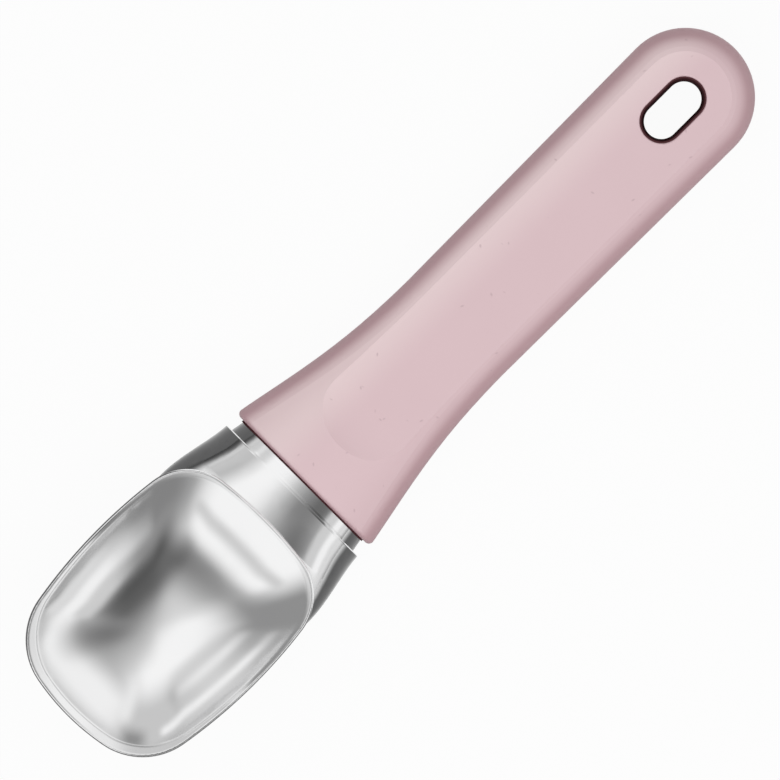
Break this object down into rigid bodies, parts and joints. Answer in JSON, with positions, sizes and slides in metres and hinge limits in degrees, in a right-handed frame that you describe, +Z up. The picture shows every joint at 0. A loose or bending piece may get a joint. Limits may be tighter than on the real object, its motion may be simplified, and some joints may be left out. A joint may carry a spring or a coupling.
{
  "type": "ice cream scoop",
  "caption": "Rigid ice cream scoop: polished cast head with a shallow oblong bowl and stepped collar, on a pink moulded handle with a flat top, thumb rest and hang slot.",
  "frame": {"origin": "middle of the scoop's box in plan, on the surface that the handle's underside lies on", "axes": "+X from the bowl's tip to the handle's end, +Y across to the left, +Z up out of the bowl's mouth"},
  "size_m": [0.2099, 0.049, 0.0245],
  "materials": {
    "polished_aluminium": "polished casting",
    "wine_rubber": "matte elastomer",
    "pink_plastic": "satin moulding with faint fibre flecks",
    "core_plastic": "plain moulding",
    "pin_steel": "ground"
  },
  "bodies": {
    "root": {"scoop_head": "polished_aluminium", "neck_seal": "wine_rubber", "handle_cover": "pink_plastic", "slot_liner": "wine_rubber", "core_upper": "core_plastic", "core_lower": "core_plastic", "tang_pins": "pin_steel"}
  },
  "joints": []
}
